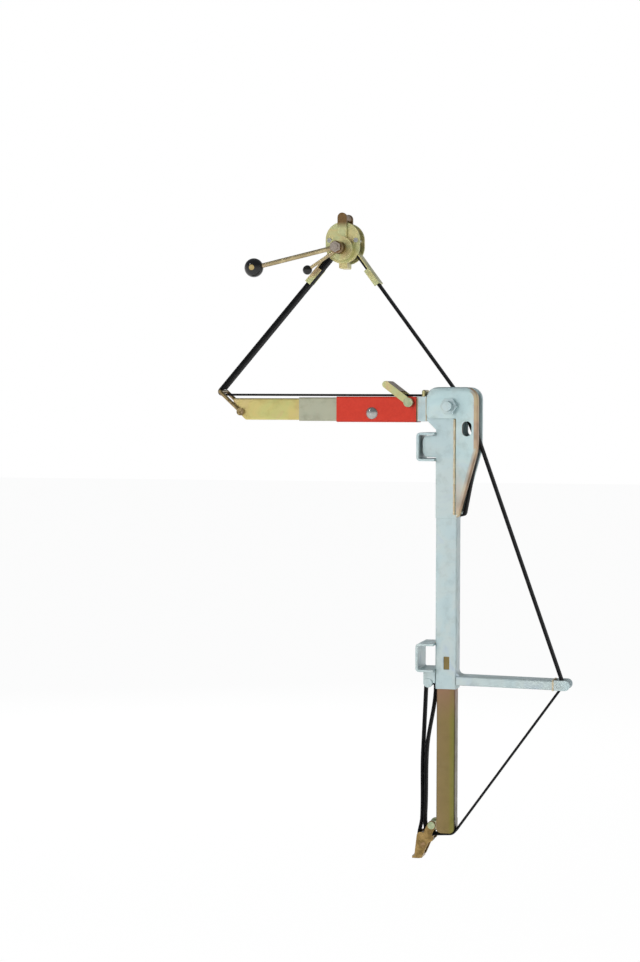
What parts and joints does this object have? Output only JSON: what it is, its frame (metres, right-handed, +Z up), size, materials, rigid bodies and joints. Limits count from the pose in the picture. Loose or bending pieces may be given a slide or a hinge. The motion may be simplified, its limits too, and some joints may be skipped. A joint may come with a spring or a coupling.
{
  "type": "drum lifter",
  "caption": "Crane-hung drum lifter: cranked strap head over a telescopic arm and post with drum pads, outrigger and bottom hook, joined by a webbing strap.",
  "frame": {"origin": "centre of the lifting bar that the crane hook carries", "axes": "+Z up along the hang line, +X towards the outrigger, +Y to the back, away from the crank"},
  "size_m": [0.7628, 0.159, 1.3605],
  "materials": {
    "yellow_zinc": "yellow-passivated zinc plate, satin, mottled",
    "silver_zinc": "clear-passivated zinc plate, satin",
    "bright_steel": "turned steel, half bright",
    "red_paint": "semi-gloss paint",
    "grey_sleeve": "dull grey plated steel",
    "webbing": "woven polyester webbing",
    "ball_phenolic": "polished phenolic",
    "insert_brass": "turned brass",
    "bush_bronze": "sintered bronze",
    "friction_lining": "pressed friction material"
  },
  "bodies": {
    "frame": {"head_front_plate": "yellow_zinc", "head_back_plate": "yellow_zinc", "lifting_stirrup": "yellow_zinc", "bottom_block": "yellow_zinc", "left_guide": "yellow_zinc", "right_guide": "yellow_zinc", "brake_housing": "yellow_zinc", "strap_keeper": "yellow_zinc", "lever_stubs": "silver_zinc", "front_cheek": "silver_zinc", "back_cheek": "silver_zinc", "side_plates": "silver_zinc", "axle_bolt": "silver_zinc", "axle_nuts": "silver_zinc", "lip_bar": "silver_zinc", "anchor_pin": "silver_zinc", "post_tube": "silver_zinc", "post_gusset": "silver_zinc", "upper_pad": "silver_zinc", "lower_pad": "silver_zinc", "pad_lugs": "silver_zinc", "pad_pin": "silver_zinc", "strap_clamp": "silver_zinc", "outrigger": "silver_zinc", "outrigger_fork": "silver_zinc", "outrigger_pin_rod": "silver_zinc", "arm_root": "silver_zinc", "head_ties": "bright_steel", "head_screws": "bright_steel", "stop_bolt": "bright_steel", "arm_cover": "red_paint", "arm_sleeve": "grey_sleeve", "lifting_strap": "webbing", "hook_strap": "webbing", "shaft_bushes": "bush_bronze", "brake_lining": "friction_lining"},
    "crank": {"drive_shaft": "bright_steel", "drive_roller": "bright_steel", "brake_disc": "bright_steel", "crank_hub": "yellow_zinc", "crank_rod": "yellow_zinc", "crank_ball": "ball_phenolic", "crank_insert": "insert_brass", "crank_nut": "bright_steel", "shaft_collar": "bright_steel"},
    "brake_lever": {"brake_nut": "yellow_zinc", "brake_rod": "yellow_zinc", "brake_ball": "ball_phenolic"},
    "arm_slide": {"arm_tube": "yellow_zinc", "arm_end_cap": "yellow_zinc", "tip_bail": "yellow_zinc"},
    "clamp_lever": {"strap_lever": "yellow_zinc"},
    "strap_roller": {"frame_roller": "bright_steel", "roller_bushes": "bush_bronze"},
    "foot_post": {"foot_tube": "yellow_zinc", "foot_cap": "yellow_zinc", "hook_lugs": "yellow_zinc", "hook_pivot_pin": "yellow_zinc"},
    "hook": {"bottom_hook": "yellow_zinc", "hook_pins": "yellow_zinc"}
  },
  "joints": [
    {"name": "crank_turn", "type": "hinge", "parent": "frame", "child": "crank", "pos_m": [0, 0, -0.066], "axis": [0, 1, 0], "continuous": true},
    {"name": "brake_turn", "type": "hinge", "parent": "frame", "child": "brake_lever", "pos_m": [0, 0, -0.066], "axis": [0, 1, 0], "range_deg": [-30, 60]},
    {"name": "arm_extend", "type": "slide", "parent": "frame", "child": "arm_slide", "axis": [-1, 0, 0], "range_m": [-0.04, 0.04], "deforming": ["lifting_strap"]},
    {"name": "lever_lift", "type": "hinge", "parent": "frame", "child": "clamp_lever", "pos_m": [0.145, 0, -0.389], "axis": [0, 1, 0], "range_deg": [0, 70]},
    {"name": "roller_turn", "type": "hinge", "parent": "frame", "child": "strap_roller", "pos_m": [0.233, 0, -0.397], "axis": [0, 1, 0], "continuous": true},
    {"name": "post_extend", "type": "slide", "parent": "frame", "child": "foot_post", "axis": [0, 0, 1], "range_m": [0, 0.12], "deforming": ["lifting_strap", "hook_strap"]},
    {"name": "hook_swing", "type": "hinge", "parent": "foot_post", "child": "hook", "pos_m": [0.1959, 0, -1.2795], "axis": [0, 1, 0], "range_deg": [-30, 10], "deforming": ["lifting_strap", "hook_strap"]}
  ]
}
